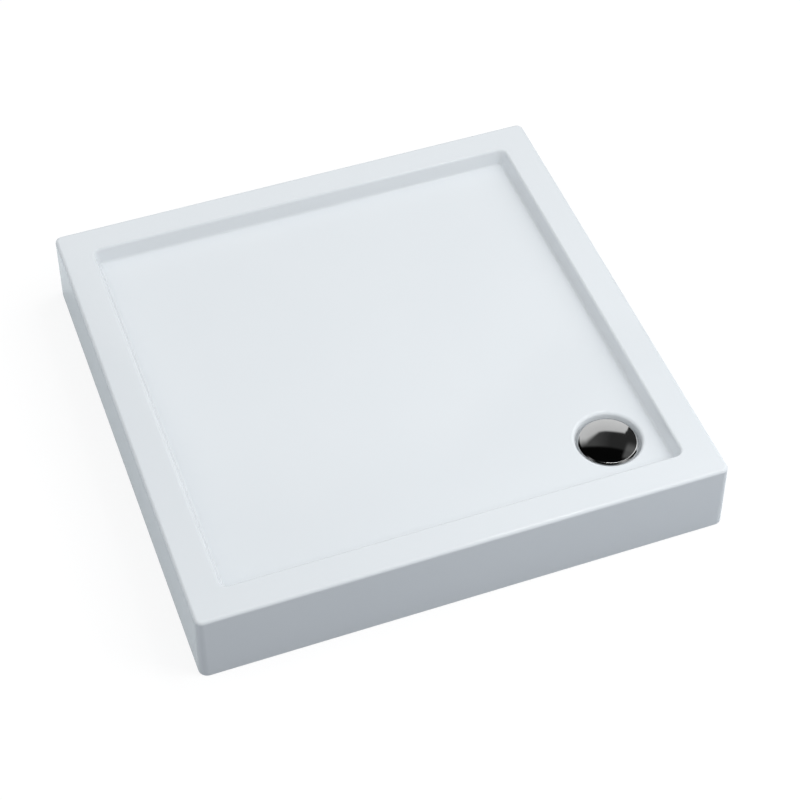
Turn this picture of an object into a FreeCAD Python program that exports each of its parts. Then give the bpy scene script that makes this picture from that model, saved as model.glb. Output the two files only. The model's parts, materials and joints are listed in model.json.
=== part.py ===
import FreeCAD, Part

import math
import os
import re

import Sketcher

# Square shower tray with moulded aprons, a shallow basin and a corner waste.
# Millimetres. The origin is the middle of the footprint on the floor, +X runs
# right along the front apron, +Y to the back and +Z up. The waste is in the
# front right corner. A formed acrylic skin carries a glass-fibre backing and a
# base board. Three folded steel bearers are screwed under the board, and five
# threaded legs hang in them, each held by a nut above and below the steel.

V = FreeCAD.Vector

SIZES = {
    # formed skin
    "tray_side": 900,        # across the aprons, at the floor
    "tray_height": 135,
    "apron_draft": 1.15,     # degrees, the aprons lean in towards the rim
    "outer_corner": 15,
    "top_round": 5.5,
    "rim_width": 56,
    "rim_round": 5,
    "opening_corner": 14,
    "basin_depth": 27,
    "wall_draft": 17,        # degrees, the basin walls lean out towards the rim
    "cove_round": 5,
    "acrylic": 4,
    "fibreglass": 3,
    "bond_gap": 0.1,
    "backing_lift": 25,      # the backing stops this far above the floor
    # waste recess
    "waste_inset": 150,      # from the front and right aprons to the waste
    "waste_hole": 90,
    "recess_mouth": 113,
    "recess_foot": 107,
    "recess_depth": 14,
    "recess_soft": 6,
    "recess_cove": 3,
    # base board
    "board_side": 720,
    "board_thick": 16,
    "board_corner": 12,
    "notch_reach": 80,       # from the waste to the back edge of the cut-out
    "notch_gap": 5,          # from the outlet nut to its left edge
    "notch_round": 60,
    # bearers
    "steel": 1.5,
    "web_width": 30,
    "flange_width": 20,
    "bearer_depth": 35,
    "bend_round": 2,
    "bearer_row": 270,       # from the middle to the outer bearers
    "bearer_reach": 330,     # from the middle to their ends
    "short_start": 110,      # the right bearer starts this far behind the waste
    "centre_length": 160,
    "leg_inset": 40,         # from a bearer's end to its leg
    # wood screws
    "screw_shank": 5,
    "screw_flats": 8,
    "screw_head_tall": 3.5,
    "screw_length": 14,      # depth of the pilot holes in the board
    "screw_tip": 1,          # from the screw's end to the bottom of its hole
    "screw_play": 0.1,
    "screw_end": 20,         # from a bearer's end to its first screw
    "screw_pitch": 300,      # about this far from one screw to the next
    # legs
    "stud_width": 10,
    "stud_headroom": 5,      # from the stud's top to the board
    "stud_chamfer": 1,
    "leg_hole": 11,
    "nut_flats": 17,
    "nut_tall": 8,
    "thread_play": 0.06,
    "foot_width": 45,
    "foot_rim": 4,
    "foot_tall": 20,
    "foot_neck": 19,
    "foot_socket": 14,
    "foot_web": 2.4,
    "foot_web_top": 16,
    "foot_web_inset": 2,     # from the foot's edge
    # waste fitting
    "seal_thin": 1,
    "seal_thick": 3,
    "seal_inset": 0.5,
    "flange_across": 102,
    "flange_thick": 2,
    "flange_bore": 76,
    "flange_skirt": 84,
    "skirt_length": 23,
    "ledge_width": 4,
    "ledge_tall": 3,
    "fit_play": 0.1,
    # trap
    "trap_flange": 112,
    "trap_flange_thick": 4,
    "trap_wall": 2.9,
    "bowl_chamfer": 2.3,
    "floor_clear": 8,        # from the floor to the bottom of the trap
    "chamber_half": 31,
    "chamber_reach": 72,     # from the waste's axis to the chamber's end
    "chamber_round": 6,
    "weir_height": 62,
    "weir_width": 40,
    "outlet_height": 43,
    "stub_reach": 95,
    "stub_wall": 3,
    "tail_across": 50,
    "tail_wall": 2.2,
    "tail_free": 42,         # the spigot beyond its stop bead
    "bead_across": 54,
    "bead_long": 3,
    "bead_gap": 2,           # from the nut to the bead
    "tail_play": 0.4,
    "seal_play": 0.05,
    "nut_across": 68,
    "nut_rib_deep": 2,
    "nut_rib_wide": 4,
    "outlet_nut_long": 21,
    "nut_face": 3,
    "cone_long": 4,
    # lift-out cup and cap
    "cup_tube": 60,
    "cup_wall": 2,
    "cup_clear": 8,          # from the trap's inner floor to the cup's lip
    "collar_tall": 5,
    "collar_play": 0.3,
    "ring_section": 2.4,
    "grip_width": 10,
    "grip_tall": 4,
    "cap_across": 101,
    "cap_lift": 2.8,         # water gap between the flange and the cap's rim
    "cap_tall": 4.7,
    "cap_rise": 2.1,         # of the dome inside the bevel
    "cap_bevel": 3,
    "cap_drop": 1.8,         # of the bevel
    "cap_sheet": 1.2,
    "prong_width": 8,
    "prong_thick": 3.5,
    "prong_length": 14,
    "prong_play": 0.6,
    "stand_start": 1,        # from the flange's bore to the ribs that the cap stands on
    "stand_long": 5,
    "stand_wide": 3,
}
FOOT_WEB_COUNT = 6
NUT_RIB_COUNT = 8
CAP_PRONG_COUNT = 4
CROWN_STEP_COUNT = 3         # cones that make up the cap's low dome

NEAR = 0.01                  # two places closer than this are the same one
UPRIGHT = 1                  # what is taller than this stands up

BUILT = []                   # every body or feature that becomes a file
doc = FreeCAD.newDocument("shower_tray")
sheet = doc.addObject("Spreadsheet::Sheet", "Sizes")
for row, (alias, size) in enumerate(SIZES.items(), start=1):
    sheet.set(f"A{row}", alias)
    sheet.set(f"B{row}", str(size))
    sheet.setAlias(f"B{row}", alias)

# Levels and places that several pieces share, worked out from the sizes above.
LEVELS = {
    "waste_x": "=tray_side / 2 - waste_inset",
    "waste_y": "=waste_inset - tray_side / 2",
    "floor_top": "=tray_height - basin_depth",
    "board_top": "=floor_top - acrylic - bond_gap - fibreglass",
    "board_bottom": "=board_top - board_thick",
    "web_bottom": "=board_bottom - bearer_depth",
    "recess_floor": "=floor_top - recess_depth",
    "recess_under": "=recess_floor - acrylic - bond_gap - fibreglass",
    "flange_top": "=recess_floor + seal_thin + flange_thick",
    "ledge_bottom": "=flange_top - flange_thick - skirt_length",
    "trap_top": "=recess_under - seal_thick",
    "trap_bore": "=flange_skirt + 2 * fit_play",
    "trap_across": "=trap_bore + 2 * trap_wall",
    "stub_bore": "=tail_across + 2 * tail_play",
    "stub_across": "=stub_bore + 2 * stub_wall",
    "collar_bottom": "=ledge_bottom + ledge_tall",
    "cap_bottom": "=flange_top + cap_lift",
    "right_start": "=waste_y + short_start",
    "right_middle": "=(right_start + bearer_reach) / 2",
    "right_length": "=bearer_reach - right_start",
    "tail_seat": "=(stub_reach - chamber_reach) / 2",
    "bead_start": "=cone_long + nut_face + bead_gap",
    "tail_length": "=tail_seat + bead_start + bead_long + tail_free",
    "stud_length": "=board_bottom - stud_headroom - foot_tall + foot_socket",
    "notch_left": "=waste_x - stub_reach - cone_long - nut_face - notch_gap",
}
for row, (alias, formula) in enumerate(LEVELS.items(), start=len(SIZES) + 2):
    sheet.set(f"A{row}", alias)
    sheet.set(f"B{row}", formula)
    sheet.setAlias(f"B{row}", alias)
doc.recompute()


def sized(formula):
    """Value of a formula whose names are aliases of the sheet."""
    return float(sheet.evalExpression(formula))


def bound(formula):
    """The same formula as another object of the document has to write it."""
    def qualified(found):
        word = found.group()
        return f"Sizes.{word}" if word in SIZES or word in LEVELS else word
    return re.sub(r"[a-z_]+", qualified, formula)


def set_size(item, prop, formula):
    """Bind a property, or a sketch's constraint, to sizes of the sheet."""
    item.setExpression(prop, bound(formula))


# --- helpers that the pieces share -----------------------------------------


def new_body(name, x="0", y="0", z="0"):
    """A body whose own origin stands at the given place of the tray."""
    body = doc.addObject("PartDesign::Body", name)
    body.Label = name
    for axis, formula in zip("xyz", (x, y, z)):
        set_size(body, f"Placement.Base.{axis}", formula)
    BUILT.append(body)
    return body


def origin_plane(body, role):
    """One of the body's own origin planes or axes, found by its role."""
    return next(item for item in body.Origin.OriginFeatures if item.Role == role)


def new_sketch(body, name, role, lift="0"):
    """An empty sketch on an origin plane, lifted along the plane's normal."""
    sketch = body.newObject("Sketcher::SketchObject", name)
    sketch.AttachmentSupport = (origin_plane(body, role), [""])
    sketch.MapMode = "FlatFace"
    set_size(sketch, "AttachmentOffset.Base.z", lift)
    return sketch


def pin_size(sketch, kind, where, formula):
    """Add one dimension to a sketch and bind it to the sheet."""
    index = sketch.addConstraint(Sketcher.Constraint(kind, *where, sized(formula)))
    set_size(sketch, f"Constraints[{index}]", formula)


def pin_point(sketch, edge, end, x, y):
    """Hold an edge's end at formulas x and y from the sketch's origin."""
    for kind, formula, axis in (("DistanceX", x, -2), ("DistanceY", y, -1)):
        if abs(sized(formula)) < NEAR / 1000:
            sketch.addConstraint(Sketcher.Constraint("PointOnObject", edge, end, axis))
        else:
            pin_size(sketch, kind, (-1, 1, edge, end), formula)


def outline(body, name, role, corners, lift="0"):
    """A closed outline of straight edges through corners given as pairs of formulas."""
    sketch = new_sketch(body, name, role, lift)
    points = [V(sized(x), sized(y), 0) for x, y in corners]
    count = len(points)
    for number, start in enumerate(points):
        sketch.addGeometry(Part.LineSegment(start, points[(number + 1) % count]))
    for number in range(count):
        following = (number + 1) % count
        sketch.addConstraint(Sketcher.Constraint("Coincident", number, 2, following, 1))
    for number, (x, y) in enumerate(corners):
        pin_point(sketch, number, 1, x, y)
    return sketch


def rounded_square(body, name, side, corner, lift="0"):
    """A square with round corners, centred on the origin."""
    sketch = new_sketch(body, name, "XY_Plane", lift)
    half = sized(side) / 2
    radius = sized(corner)
    flat = half - radius
    for turn in range(4):
        spin = FreeCAD.Rotation(V(0, 0, 1), 90 * turn)
        start = spin.multVec(V(-flat, -half, 0))
        end = spin.multVec(V(flat, -half, 0))
        circle = Part.Circle(spin.multVec(V(flat, -flat, 0)), V(0, 0, 1), radius)
        first = math.radians(90 * turn - 90)
        sketch.addGeometry(Part.LineSegment(start, end))
        sketch.addGeometry(Part.ArcOfCircle(circle, first, first + math.pi / 2))
    for line in (0, 2, 4, 6):
        straight = "Horizontal" if line in (0, 4) else "Vertical"
        sketch.addConstraint(Sketcher.Constraint("Tangent", line, 2, line + 1, 1))
        sketch.addConstraint(Sketcher.Constraint("Tangent", line + 1, 2, (line + 2) % 8, 1))
        sketch.addConstraint(Sketcher.Constraint(straight, line))
    sketch.addConstraint(Sketcher.Constraint("Equal", 1, 5))
    sketch.addConstraint(Sketcher.Constraint("Symmetric", 1, 3, 5, 3, -1, 1))
    pin_size(sketch, "DistanceX", (6, 1, 2, 1), side)
    pin_size(sketch, "DistanceY", (0, 1, 4, 1), side)
    pin_size(sketch, "Radius", (1,), corner)
    return sketch


def circles(body, name, role, across, places, lift="0"):
    """Equal circles at pairs of formulas."""
    sketch = new_sketch(body, name, role, lift)
    radius = f"({across}) / 2"
    for number, (x, y) in enumerate(places):
        centre = V(sized(x), sized(y), 0)
        sketch.addGeometry(Part.Circle(centre, V(0, 0, 1), sized(radius)))
        pin_point(sketch, number, 3, x, y)
        pin_size(sketch, "Radius", (number,), radius)
    return sketch


def box_outline(body, name, role, low, high, lift="0"):
    """A rectangle between two opposite corners given as formulas."""
    corners = (low, (high[0], low[1]), high, (low[0], high[1]))
    return outline(body, name, role, corners, lift=lift)


def pad(body, name, sketch, length, reverse=False):
    """Raise a sketch into a solid along its normal."""
    feature = body.newObject("PartDesign::Pad", name)
    feature.Profile = sketch
    feature.Reversed = reverse
    set_size(feature, "Length", length)
    doc.recompute()
    return feature


def pocket(body, name, sketch, length, reverse=False):
    """Cut a sketch into the solid, and stop if nothing was cut."""
    before = body.Shape.Volume
    feature = body.newObject("PartDesign::Pocket", name)
    feature.Profile = sketch
    feature.Reversed = reverse
    set_size(feature, "Length", length)
    doc.recompute()
    if feature.Shape.Volume > before - 1e-3:
        raise RuntimeError(f"{body.Label}: {name} cuts nothing")
    return feature


def revolve(body, name, sketch):
    """Turn a profile through a full circle about the upright axis."""
    feature = body.newObject("PartDesign::Revolution", name)
    feature.Profile = sketch
    feature.ReferenceAxis = (sketch, ["V_Axis"])
    feature.Angle = 360
    doc.recompute()
    return feature


def groove(body, name, sketch, axis="V_Axis"):
    """Cut a turned profile out of the solid, and stop if nothing was cut."""
    before = body.Shape.Volume
    feature = body.newObject("PartDesign::Groove", name)
    feature.Profile = sketch
    feature.ReferenceAxis = (sketch, [axis])
    feature.Angle = 360
    doc.recompute()
    if feature.Shape.Volume > before - 1e-3:
        raise RuntimeError(f"{body.Label}: {name} cuts nothing")
    return feature


def around(body, name, feature, count):
    """Repeat a feature evenly about the body's upright axis."""
    pattern = body.newObject("PartDesign::PolarPattern", name)
    pattern.Originals = [feature]
    pattern.Axis = (origin_plane(body, "Z_Axis"), [""])
    pattern.Angle = 360
    pattern.Occurrences = count
    body.Tip = pattern
    doc.recompute()
    return pattern


def named_edges(feature, wanted):
    """Names of the feature's edges for which wanted(edge) is true."""
    edges = enumerate(feature.Shape.Edges, start=1)
    return [f"Edge{number}" for number, edge in edges if wanted(edge)]


def named_faces(feature, wanted):
    """Names of the feature's faces for which wanted(face) is true."""
    faces = enumerate(feature.Shape.Faces, start=1)
    return [f"Face{number}" for number, face in faces if wanted(face)]


def flat_at(level):
    """Test for an edge or face that lies flat at a level."""
    return lambda item: (abs(item.BoundBox.ZMin - level) < NEAR
                         and abs(item.BoundBox.ZMax - level) < NEAR)


def within(half):
    """Test for an edge or face inside a square about the origin."""
    def test(item):
        box = item.BoundBox
        return max(-box.XMin, box.XMax, -box.YMin, box.YMax) < half
    return test


def stands(item):
    """Test for an edge or face that is not level."""
    return item.BoundBox.ZLength > UPRIGHT


def both(first, second):
    """Test that passes where two tests pass."""
    return lambda item: first(item) and second(item)


def ring_at(radius, level):
    """Test for a level circular edge of one radius."""
    flat = flat_at(level)
    return lambda edge: (flat(edge) and isinstance(edge.Curve, Part.Circle)
                         and abs(edge.Curve.Radius - radius) < NEAR)


def dress(body, kind, name, feature, edges, prop, formula):
    """Fillet or chamfer chosen edges of a feature."""
    if not edges:
        raise RuntimeError(f"{body.Label}: {name} finds no edge")
    result = body.newObject(f"PartDesign::{kind}", name)
    result.Base = (feature, edges)
    set_size(result, prop, formula)
    doc.recompute()
    return result


def fillet(body, name, feature, edges, radius):
    """Round edges to a radius."""
    return dress(body, "Fillet", name, feature, edges, "Radius", radius)


def chamfer(body, name, feature, edges, width):
    """Break edges at 45 degrees."""
    return dress(body, "Chamfer", name, feature, edges, "Size", width)


def lean(body, name, feature, faces, neutral, angle):
    """Lean faces about the plane or face where they keep their place."""
    result = body.newObject("PartDesign::Draft", name)
    result.Base = (feature, faces)
    result.NeutralPlane = neutral
    set_size(result, "Angle", angle)
    doc.recompute()
    return result


# --- formed skin and its backing --------------------------------------------


def tray_form(name, inset, lower_edge, holed):
    """The moulded form as a solid, with each surface inset square to itself.

    A leaning block has the basin and the waste recess sunk into it. Two forms
    with different insets bound one layer, so that the layers nest. Only the
    moulded face itself, which has no inset, has its edges and coves rounded.
    """
    body = doc.addObject("PartDesign::Body", name)
    body.Label = name
    top = f"(tray_height - {inset})"
    floor = f"(floor_top - {inset})"
    side = f"(tray_side - 2 * {inset} / cos(apron_draft))"
    corner = f"(outer_corner - {inset})"
    widen = f"({inset} / cos(wall_draft) - {inset} * tan(wall_draft))"
    rim_inner = "(tray_side / 2 - tray_height * tan(apron_draft) - rim_width)"
    opening = f"(2 * ({rim_inner} + {widen}))"
    opening_corner = f"(opening_corner + {widen})"

    def soften(label, feature, edges, radius):
        """Round edges of the moulded face."""
        return feature if sized(inset) else fillet(body, label, feature, edges, radius)

    sketch = rounded_square(body, "footprint", side, corner, lower_edge)
    block = pad(body, "block", sketch, f"{top} - {lower_edge}")
    floor_plane = (origin_plane(body, "XY_Plane"), [""])
    sides = named_faces(block, stands)
    block = lean(body, "aprons", block, sides, floor_plane, "apron_draft")
    edges = named_edges(block, flat_at(sized(top)))
    soften("top_edge", block, edges, "top_round")

    sketch = rounded_square(body, "opening", opening, opening_corner, top)
    basin = pocket(body, "basin", sketch, "basin_depth")
    inner = within(sized(opening) / 2 + NEAR)
    walls = named_faces(basin, both(inner, stands))
    rim = named_faces(basin, flat_at(sized(top)))[:1]
    basin = lean(body, "basin_walls", basin, walls, (basin, rim), "wall_draft")
    edges = named_edges(basin, both(inner, flat_at(sized(top))))
    basin = soften("rim_edge", basin, edges, "rim_round")
    edges = named_edges(basin, flat_at(sized(floor)))
    soften("cove", basin, edges, "cove_round")

    fall = "atan(2 * recess_depth / (recess_mouth - recess_foot))"
    spread = f"({inset} * (1 / sin({fall}) - 1 / tan({fall})))"
    mouth = f"recess_mouth / 2 + {spread}"
    foot = f"recess_foot / 2 + {spread}"
    corners = (
        ("waste_x", f"{floor} + recess_depth"),
        (f"waste_x + {mouth}", f"{floor} + recess_depth"),
        (f"waste_x + {mouth}", floor),
        (f"waste_x + {foot}", f"{floor} - recess_depth"),
        ("waste_x", f"{floor} - recess_depth"),
    )
    sketch = outline(body, "recess_side", "XZ_Plane", corners, lift="-waste_y")
    recess = groove(body, "recess", sketch, f"Edge{len(corners)}")
    edges = named_edges(recess, ring_at(sized(mouth), sized(floor)))
    recess = soften("recess_mouth", recess, edges, "recess_soft")
    edges = named_edges(recess, ring_at(sized(foot), sized(f"{floor} - recess_depth")))
    soften("recess_cove", recess, edges, "recess_cove")
    if holed:
        hole = circles(body, "hole", "XY_Plane", "waste_hole", [("waste_x", "waste_y")], top)
        pocket(body, "waste_hole", hole, "tray_height")
    return body


def moulded_layer(name, inset, thickness, lower_edge):
    """The layer between the form at one inset and the form a thickness deeper."""
    layer = doc.addObject("Part::Cut", name)
    layer.Label = name
    layer.Base = tray_form(f"{name}_outside", inset, lower_edge, holed=True)
    layer.Tool = tray_form(f"{name}_inside", f"({inset} + {thickness})", "0", holed=False)
    doc.recompute()
    BUILT.append(layer)


moulded_layer("tray_shell", "0", "acrylic", "0")
moulded_layer("fibreglass_backing", "(acrylic + bond_gap)", "fibreglass", "backing_lift")


# --- base board and bearers --------------------------------------------------

# Each bearer runs along Y: name, x and y of its middle, length, and leg offsets
# from its middle.
LONG_LEG = "(bearer_reach - leg_inset)"
SHORT_LEG = "(right_length / 2 - leg_inset)"
BEARERS = (
    ("left", "-bearer_row", "0", "2 * bearer_reach", (f"-{LONG_LEG}", LONG_LEG)),
    ("right", "bearer_row", "right_middle", "right_length", (f"-{SHORT_LEG}", SHORT_LEG)),
    ("centre", "0", "0", "centre_length", ("0",)),
)


def screw_places(length):
    """Places of a bearer's screws, from the bearer's middle."""
    across = "(web_width + flange_width) / 2"
    spaces = max(1, round(sized(f"({length} - 2 * screw_end) / screw_pitch")))
    places = []
    for number in range(spaces + 1):
        share = 2 * number / spaces - 1
        along = f"{share} * ({length} / 2 - screw_end)"
        places.append((f"-{across}", along))
        places.append((across, along))
    return places


def base_board():
    """Board under the basin, cut away round the waste."""
    body = new_body("base_board", z="board_bottom")
    half = "board_side / 2"
    corners = (
        (f"-{half}", f"-{half}"),
        ("notch_left", f"-{half}"),
        ("notch_left", "waste_y + notch_reach"),
        (half, "waste_y + notch_reach"),
        (half, half),
        (f"-{half}", half),
    )
    board = pad(body, "board", outline(body, "plan", "XY_Plane", corners), "board_thick")

    def stands_at(edge, x, y):
        box = edge.BoundBox
        return stands(edge) and abs(box.XMin - x) + abs(box.YMin - y) < NEAR

    notch_x = sized("notch_left")
    notch_y = sized("waste_y + notch_reach")
    inside = named_edges(board, lambda edge: stands_at(edge, notch_x, notch_y))
    board = fillet(body, "notch", board, inside, "notch_round")
    reach = sized(half)
    outside = named_edges(board, lambda edge: any(
        stands_at(edge, x, y) for x, y in ((-reach, -reach), (reach, reach), (-reach, reach))))
    fillet(body, "corners", board, outside, "board_corner")
    pilots = []
    for _, x, y, length, _ in BEARERS:
        pilots += [(f"{x} + {dx}", f"{y} + {dy}") for dx, dy in screw_places(length)]
    pilot = circles(body, "pilots", "XY_Plane", "screw_shank + 2 * screw_play", pilots)
    pocket(body, "pilot_holes", pilot, "screw_length", reverse=True)


def bearer(name, x, y, length, legs):
    """Folded channel with flanges along its open top, holes for legs and screws."""
    body = new_body(f"bearer_{name}", x, y, "web_bottom")
    wide = "(web_width / 2 + flange_width)"
    reach = f"({length}) / 2"
    plan = box_outline(body, "flange_plan", "XY_Plane", (f"-{wide}", f"-{reach}"),
                       (wide, reach), "bearer_depth - steel")
    pad(body, "flanges", plan, "steel")
    plan = box_outline(body, "channel_plan", "XY_Plane", ("-web_width / 2", f"-{reach}"),
                       ("web_width / 2", reach))
    pad(body, "channel", plan, "bearer_depth")
    inner = "(web_width / 2 - steel)"
    plan = box_outline(body, "hollow_plan", "XY_Plane", (f"-{inner}", f"-{reach}"),
                       (inner, reach), "steel")
    folded = pocket(body, "hollow", plan, "bearer_depth", reverse=True)

    def bend(half_gap, level):
        def test(edge):
            box = edge.BoundBox
            return (abs(box.YLength - sized(length)) < NEAR
                    and abs(abs(box.XMin) - half_gap) < NEAR
                    and abs(box.ZMin - level) < NEAR)
        return test

    half_web = sized("web_width / 2")
    half_inner = sized(inner)
    outer = named_edges(folded, bend(half_web, 0))
    outer += named_edges(folded, bend(half_inner, sized("bearer_depth")))
    folded = fillet(body, "outer_bends", folded, outer, "bend_round")
    tight = named_edges(folded, bend(half_inner, sized("steel")))
    tight += named_edges(folded, bend(half_web, sized("bearer_depth - steel")))
    fillet(body, "inner_bends", folded, tight, "bend_round - steel")
    sketch = circles(body, "leg_marks", "XY_Plane", "leg_hole", [("0", at) for at in legs])
    pocket(body, "leg_holes", sketch, "web_width", reverse=True)
    sketch = circles(body, "screw_marks", "XY_Plane", "screw_shank + 2 * screw_play",
                     screw_places(length))
    pocket(body, "screw_holes", sketch, "2 * bearer_depth", reverse=True)


def bearer_screws():
    """All the hexagon-head wood screws that hold the bearers up to the board."""
    under_flange = sized("board_bottom - steel")
    screws = []
    for _, x, y, length, _ in BEARERS:
        for across, along in screw_places(length):
            place = V(sized(f"{x} + {across}"), sized(f"{y} + {along}"), under_flange)
            head = hexagon_prism(sized("screw_flats"), sized("screw_head_tall"))
            shank = hexagon_prism(sized("screw_shank") * math.cos(math.pi / 6),
                                  sized("screw_length + steel - screw_tip"))
            head.translate(place - V(0, 0, sized("screw_head_tall")))
            shank.translate(place)
            screws.append(head.fuse(shank).removeSplitter())
    group = doc.addObject("Part::Feature", "bearer_screws")
    group.Label = "bearer_screws"
    group.Shape = Part.makeCompound(screws)
    BUILT.append(group)


def hexagon_prism(flats, tall):
    """Upright hexagonal prism on the origin, by its width across flats."""
    reach = flats / 2 / math.cos(math.pi / 6)
    turns = [math.pi / 3 * turn for turn in range(7)]
    ring = Part.makePolygon([V(reach * math.cos(a), reach * math.sin(a), 0) for a in turns])
    return Part.Face(ring).extrude(V(0, 0, tall))


base_board()
for details in BEARERS:
    bearer(*details)
bearer_screws()


# --- legs --------------------------------------------------------------------


def leg_foot(name, x, y):
    """Round plastic foot: a disc, and a webbed neck with a socket for the stud."""
    body = new_body(f"foot_{name}", x, y)
    socket = "stud_width / 2"
    corners = (
        (socket, "foot_tall - foot_socket"),
        ("0", "foot_tall - foot_socket"),
        ("0", "0"),
        ("foot_width / 2", "0"),
        ("foot_width / 2", "foot_rim"),
        ("foot_neck / 2", "foot_rim"),
        ("foot_neck / 2", "foot_tall"),
        (socket, "foot_tall"),
    )
    revolve(body, "turned", outline(body, "profile", "XZ_Plane", corners))
    root = "(foot_neck + stud_width) / 4"
    reach = "foot_width / 2 - foot_web_inset"
    side = outline(body, "web_side", "XZ_Plane", (
        (root, "foot_rim / 2"),
        (reach, "foot_rim / 2"),
        (reach, "foot_rim"),
        ("foot_neck / 2", "foot_web_top"),
        (root, "foot_web_top"),
    ), lift="-foot_web / 2")
    around(body, "webs", pad(body, "web", side, "foot_web"), FOOT_WEB_COUNT)


def leg_stud(name, x, y):
    """Threaded rod from the foot's socket up through the bearer."""
    body = new_body(f"stud_{name}", x, y, "foot_tall - foot_socket")
    sketch = circles(body, "section", "XY_Plane", "stud_width", [("0", "0")])
    rod = pad(body, "rod", sketch, "stud_length")
    edges = named_edges(rod, flat_at(sized("stud_length")))
    chamfer(body, "point", rod, edges, "stud_chamfer")


def leg_nut(name, x, y, level):
    """Hexagon nut."""
    body = new_body(name, x, y, level)
    corner = "nut_flats / 2 / cos(30)"
    corners = [(f"{corner} * cos({60 * turn})", f"{corner} * sin({60 * turn})")
               for turn in range(6)]
    pad(body, "hexagon", outline(body, "flats", "XY_Plane", corners), "nut_tall")
    across = "stud_width + 2 * thread_play"
    bore = circles(body, "bore_mark", "XY_Plane", across, [("0", "0")])
    pocket(body, "bore", bore, "2 * nut_tall", reverse=True)


LEG_ROWS = {"left": ("front", "back"), "right": ("front", "back"), "centre": ("middle",)}
for side, middle_x, middle_y, _, leg_offsets in BEARERS:
    for row, offset in zip(LEG_ROWS[side], leg_offsets):
        corner_name = "centre" if side == "centre" else f"{row}_{side}"
        leg_y = f"{middle_y} + {offset}"
        leg_foot(corner_name, middle_x, leg_y)
        leg_stud(corner_name, middle_x, leg_y)
        leg_nut(f"lower_nut_{corner_name}", middle_x, leg_y, "web_bottom - nut_tall")
        leg_nut(f"upper_nut_{corner_name}", middle_x, leg_y, "web_bottom + steel")


# --- waste fitting and trap --------------------------------------------------


def at_waste(name, level="0"):
    """A body whose upright axis is that of the waste."""
    return new_body(name, "waste_x", "waste_y", level)


def flat_ring(name, inner, outer, thickness, level):
    """Flat ring, such as a seal, about the waste's axis."""
    body = at_waste(name, level)
    corners = (
        (f"({inner}) / 2", "0"),
        (f"({outer}) / 2", "0"),
        (f"({outer}) / 2", thickness),
        (f"({inner}) / 2", thickness),
    )
    revolve(body, "ring", outline(body, "section", "XZ_Plane", corners))


def waste_flange():
    """Clamping flange: a flat rim over a threaded skirt with a ledge inside."""
    body = at_waste("waste_flange", "ledge_bottom")
    rim_under = "skirt_length"
    rim_top = "(skirt_length + flange_thick)"
    corners = (
        ("flange_bore / 2 - ledge_width", "0"),
        ("flange_skirt / 2", "0"),
        ("flange_skirt / 2", rim_under),
        ("flange_across / 2", rim_under),
        ("flange_across / 2", rim_top),
        ("flange_bore / 2", rim_top),
        ("flange_bore / 2", "ledge_tall"),
        ("flange_bore / 2 - ledge_width", "ledge_tall"),
    )
    turned = revolve(body, "turned", outline(body, "profile", "XZ_Plane", corners))
    edges = named_edges(turned, ring_at(sized("flange_across / 2"), sized(rim_top)))
    chamfer(body, "rim_edge", turned, edges, "flange_thick / 2")


def trap_body():
    """Trap: round bowl with a side chamber behind a weir, and an outlet stub."""
    body = at_waste("trap_body")
    bore = "trap_bore / 2"
    shell = "trap_across / 2"
    neck = "(trap_top - trap_flange_thick)"
    bowl = outline(body, "bowl_profile", "XZ_Plane", (
        ("0", "floor_clear"),
        (shell, "floor_clear"),
        (shell, neck),
        ("trap_flange / 2", neck),
        ("trap_flange / 2", "trap_top"),
        ("0", "trap_top"),
    ))
    revolve(body, "bowl", bowl)

    chamber = box_outline(body, "chamber_plan", "XY_Plane", ("-chamber_reach", "-chamber_half"),
                          ("0", "chamber_half"), "floor_clear + trap_wall")
    solid = pad(body, "chamber", chamber, f"{neck} - floor_clear - trap_wall")
    reach = sized("chamber_reach")
    posts = named_edges(solid, lambda edge: (
        stands(edge) and abs(edge.BoundBox.XMax + reach) < NEAR))
    solid = fillet(body, "chamber_corners", solid, posts, "chamber_round")
    foot = named_edges(solid, ring_at(sized(shell), sized("floor_clear")))
    chamfer(body, "bowl_foot", solid, foot, "bowl_chamfer")
    stub = circles(body, "stub_mark", "YZ_Plane", "stub_across", [("0", "outlet_height")])
    pad(body, "stub", stub, "stub_reach", reverse=True)

    inside = circles(body, "bore_mark", "XY_Plane", "trap_bore", [("0", "0")],
                     "floor_clear + trap_wall")
    pocket(body, "bore", inside, "trap_top", reverse=True)
    hollow = box_outline(body, "hollow_plan", "XY_Plane",
                         ("trap_wall - chamber_reach", "trap_wall - chamber_half"),
                         (f"-{shell} - trap_wall", "chamber_half - trap_wall"),
                         "floor_clear + 2 * trap_wall")
    pocket(body, "hollow", hollow, f"{neck} - floor_clear - 3 * trap_wall", reverse=True)
    window = box_outline(body, "window_plan", "XY_Plane",
                         ("trap_wall - chamber_reach", "-weir_width / 2"),
                         (f"-{bore} + 2 * trap_wall", "weir_width / 2"), "weir_height")
    pocket(body, "weir_window", window, f"{neck} - trap_wall - weir_height", reverse=True)
    way_out = circles(body, "outlet_mark", "YZ_Plane", "stub_bore", [("0", "outlet_height")],
                      "2 * trap_wall - chamber_reach")
    pocket(body, "outlet", way_out, "stub_reach")


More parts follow.
